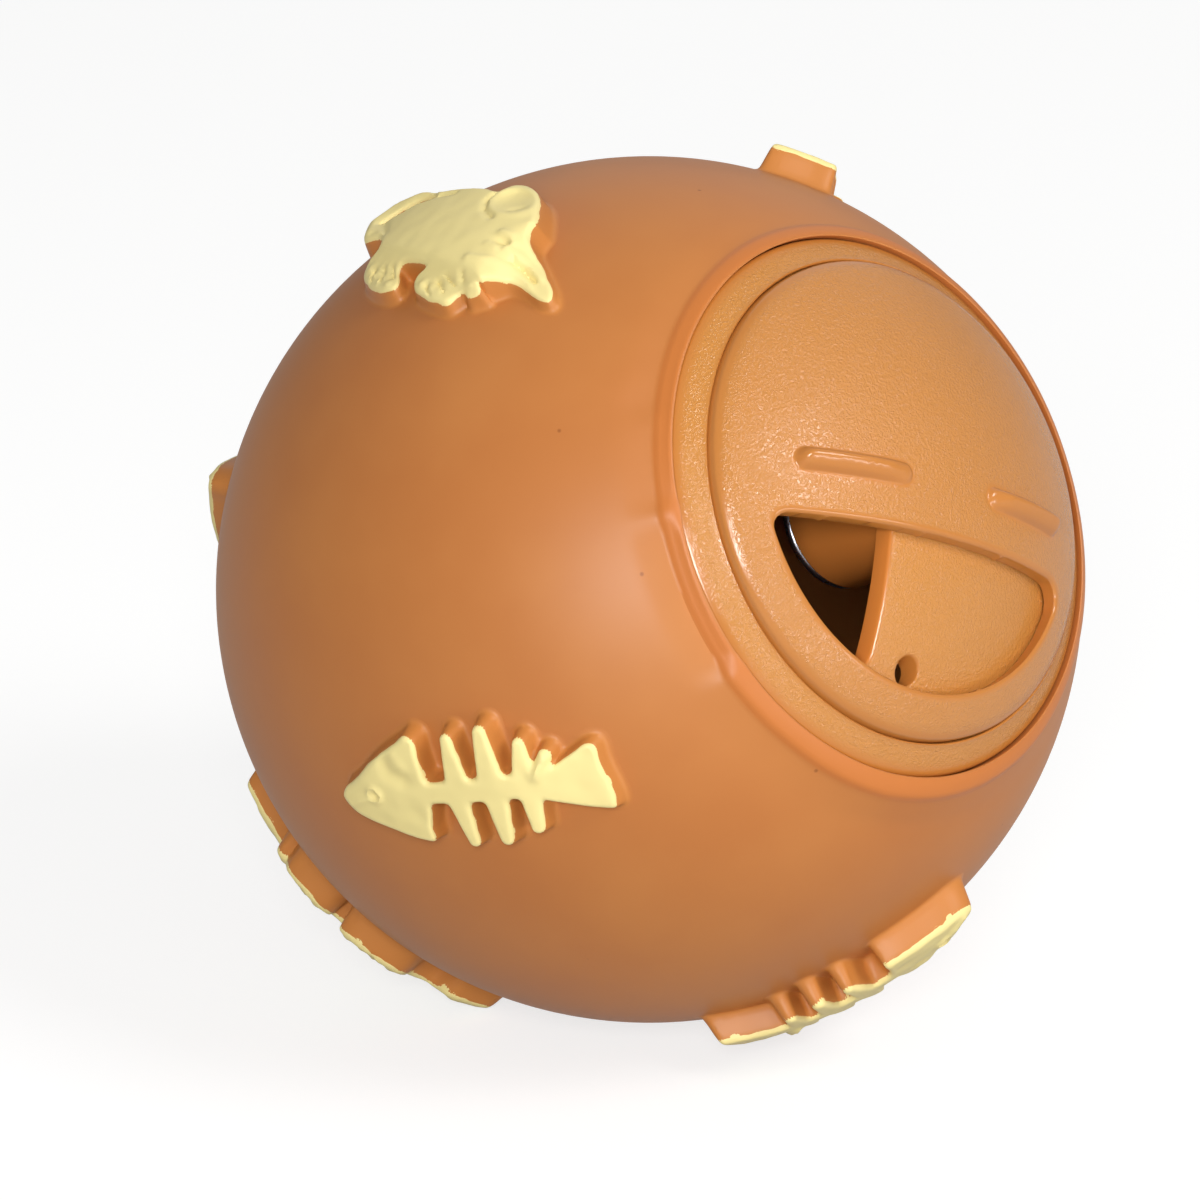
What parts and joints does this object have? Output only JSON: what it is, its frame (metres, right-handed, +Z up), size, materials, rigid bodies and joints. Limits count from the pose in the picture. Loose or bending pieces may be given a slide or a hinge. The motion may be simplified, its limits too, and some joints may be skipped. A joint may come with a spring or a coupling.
{
  "type": "treat dispensing ball",
  "caption": "Hollow soft vinyl treat ball for cats with raised fish bones and mice, closed by a round lid whose turning dial meters the treats.",
  "frame": {"origin": "the ball's lowest point, where it touches the floor", "axes": "+Z up; the lid faces -Y and is tilted up by 28 degrees"},
  "size_m": [0.0794, 0.0781, 0.076],
  "materials": {
    "vinyl": "satin soft vinyl",
    "lid_plastic": "fine spark eroded texture",
    "dial_plastic": "fine spark eroded texture with glossy edges",
    "paint": "satin cream paint",
    "nickel": "bright nickel plating",
    "zinc": "dull zinc plating"
  },
  "bodies": {
    "ball": {"ball_shell": "vinyl", "fish_paint_1": "paint", "fish_paint_2": "paint", "fish_paint_3": "paint", "fish_paint_4": "paint", "fish_paint_5": "paint", "mouse_paint_1": "paint", "mouse_paint_2": "paint", "mouse_paint_3": "paint", "mouse_paint_4": "paint"},
    "lid": {"lid": "lid_plastic"},
    "dial": {"dial": "dial_plastic", "hub_washer": "zinc", "hub_screw": "nickel"}
  },
  "joints": [
    {"name": "lid_turn", "type": "hinge", "parent": "ball", "child": "lid", "pos_m": [0, 0, 0.0375], "axis": [0, -0.8829, 0.4695], "continuous": true},
    {"name": "dial_turn", "type": "hinge", "parent": "lid", "child": "dial", "pos_m": [0, 0, 0.0375], "axis": [0, -0.8829, 0.4695], "continuous": true}
  ]
}
